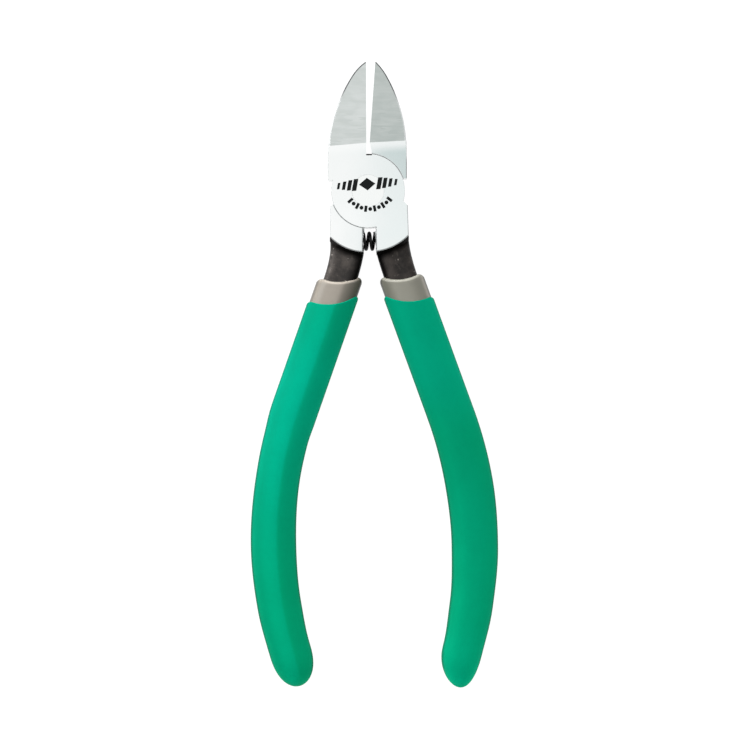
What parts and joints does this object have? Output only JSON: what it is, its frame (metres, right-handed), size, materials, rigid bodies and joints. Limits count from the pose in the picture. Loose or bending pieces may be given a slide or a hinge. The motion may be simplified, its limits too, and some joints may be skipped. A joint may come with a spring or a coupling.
{
  "type": "flush cut pliers",
  "caption": "Diagonal flush-cutting pliers for plastic and soft wire: lap-jointed forged halves on a rivet, small coil return spring between the handle roots, two-coat dipped grips.",
  "frame": {"origin": "on the rivet's axis, in the flat back face of the head", "axes": "+Y along the jaws towards the tips, +Z out of the flush front face along the rivet's axis, +X to the right with the tips up and the flush face towards the viewer"},
  "size_m": [0.0633, 0.1599, 0.01],
  "materials": {
    "steel": "polished head faces, ground blade faces, dark forged tangs",
    "rivet_steel": "polished flush with the head",
    "spring_steel": "blackened spring wire",
    "grip_base": "satin dipped vinyl, warm grey",
    "grip_cover": "satin dipped vinyl, sea green"
  },
  "bodies": {
    "back_lever": {"back_half": "steel", "pivot_rivet": "rivet_steel", "return_spring": "spring_steel", "left_grip_base": "grip_base", "left_grip_cover": "grip_cover"},
    "front_lever": {"front_half": "steel", "right_grip_base": "grip_base", "right_grip_cover": "grip_cover"}
  },
  "joints": [
    {"name": "jaw_pivot", "type": "hinge", "parent": "back_lever", "child": "front_lever", "pos_m": [0, 0, 0.005], "axis": [0, 0, 1], "range_deg": [-4.1, 34.5], "stiffness_Nm_per_rad": 1.2, "deforming": ["return_spring"]}
  ]
}
